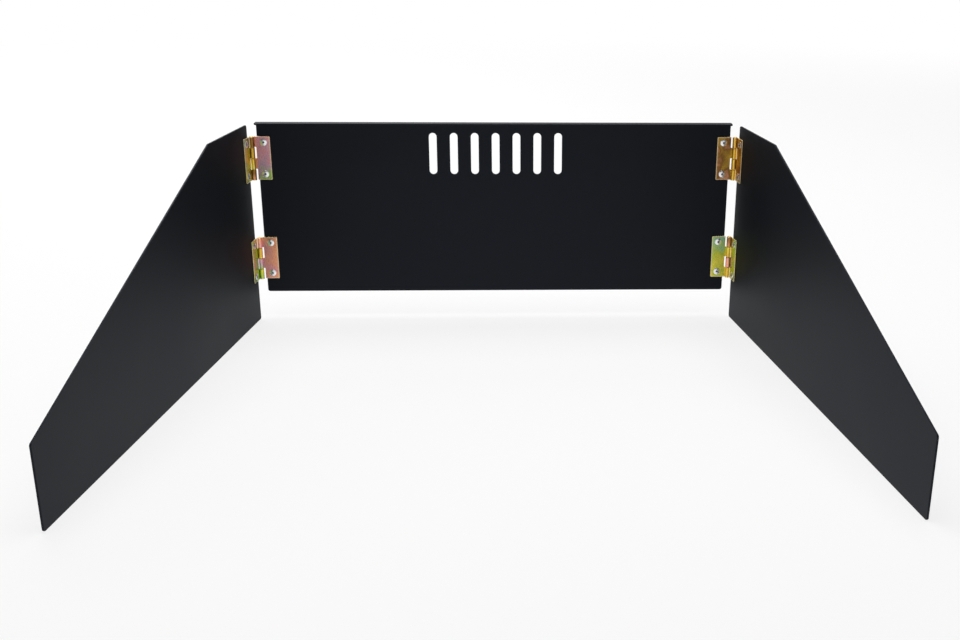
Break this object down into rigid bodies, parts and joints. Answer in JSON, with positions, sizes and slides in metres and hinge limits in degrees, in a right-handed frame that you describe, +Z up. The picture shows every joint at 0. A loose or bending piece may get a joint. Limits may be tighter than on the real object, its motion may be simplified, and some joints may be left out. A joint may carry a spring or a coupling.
{
  "type": "stove windscreen",
  "caption": "Folding camp-stove windscreen: a lipped, vented back panel with sloping side wings on riveted butt hinges.",
  "frame": {"origin": "on the table, under the middle of the outside box, with the wings open as they stand in use", "axes": "+X along the back panel to the right as seen from the stove, +Y from the stove towards the panel's back, +Z up"},
  "size_m": [0.5598, 0.4124, 0.185],
  "materials": {
    "sheet": "black satin powder coat on steel sheet",
    "hinge": "yellow iridescent passivated zinc on steel",
    "pin": "yellow passivated zinc on steel",
    "rivet": "plain aluminium, satin",
    "mandrel": "plain steel, dull"
  },
  "bodies": {
    "panel_body": {"back_panel": "sheet", "upper_left_panel_leaf": "hinge", "upper_left_hinge_pin": "pin", "upper_left_panel_rivets": "rivet", "upper_left_panel_mandrels": "mandrel", "lower_left_panel_leaf": "hinge", "lower_left_hinge_pin": "pin", "lower_left_panel_rivets": "rivet", "lower_left_panel_mandrels": "mandrel", "upper_right_panel_leaf": "hinge", "upper_right_hinge_pin": "pin", "upper_right_panel_rivets": "rivet", "upper_right_panel_mandrels": "mandrel", "lower_right_panel_leaf": "hinge", "lower_right_hinge_pin": "pin", "lower_right_panel_rivets": "rivet", "lower_right_panel_mandrels": "mandrel"},
    "left_wing_body": {"left_wing": "sheet", "upper_left_wing_leaf": "hinge", "upper_left_wing_rivets": "rivet", "upper_left_wing_mandrels": "mandrel", "lower_left_wing_leaf": "hinge", "lower_left_wing_rivets": "rivet", "lower_left_wing_mandrels": "mandrel"},
    "right_wing_body": {"right_wing": "sheet", "upper_right_wing_leaf": "hinge", "upper_right_wing_rivets": "rivet", "upper_right_wing_mandrels": "mandrel", "lower_right_wing_leaf": "hinge", "lower_right_wing_rivets": "rivet", "lower_right_wing_mandrels": "mandrel"}
  },
  "joints": [
    {"name": "left_wing_fold", "type": "hinge", "parent": "panel_body", "child": "left_wing_body", "pos_m": [-0.2192, 0.19865, 0.105], "axis": [0, 0, 1], "range_deg": [-172, 98]},
    {"name": "right_wing_fold", "type": "hinge", "parent": "panel_body", "child": "right_wing_body", "pos_m": [0.2192, 0.19865, 0.105], "axis": [0, 0, 1], "range_deg": [-94, 172]}
  ]
}
